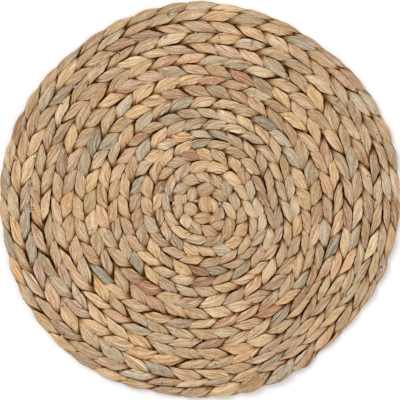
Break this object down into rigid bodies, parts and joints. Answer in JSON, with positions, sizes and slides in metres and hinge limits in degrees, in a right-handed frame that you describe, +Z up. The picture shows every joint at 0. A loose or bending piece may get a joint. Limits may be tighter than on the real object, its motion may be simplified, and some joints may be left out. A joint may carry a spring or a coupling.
{
  "type": "round braided placemat",
  "caption": "Round flat placemat of a thick stalk braid wound in a spiral and sewn edge to edge, with ridged turns and a slightly uneven rim.",
  "frame": {"origin": "middle of the mat's bounding box, on the flat underside", "axes": "+Z up out of the mat's top face; +X to the right and +Y away in the picture, which looks straight down"},
  "size_m": [0.3828, 0.379, 0.0096],
  "materials": {
    "dried_stalk": "dry flattened plant stalks, straw tan with grey-green, pink-brown and orange-tan stalks among them, lengthwise grain, dull with a faint waxy sheen",
    "sewing_twine": "thin two-ply undyed twine, hairy and matt"
  },
  "bodies": {
    "root": {"braided_mat": "dried_stalk"}
  },
  "joints": []
}
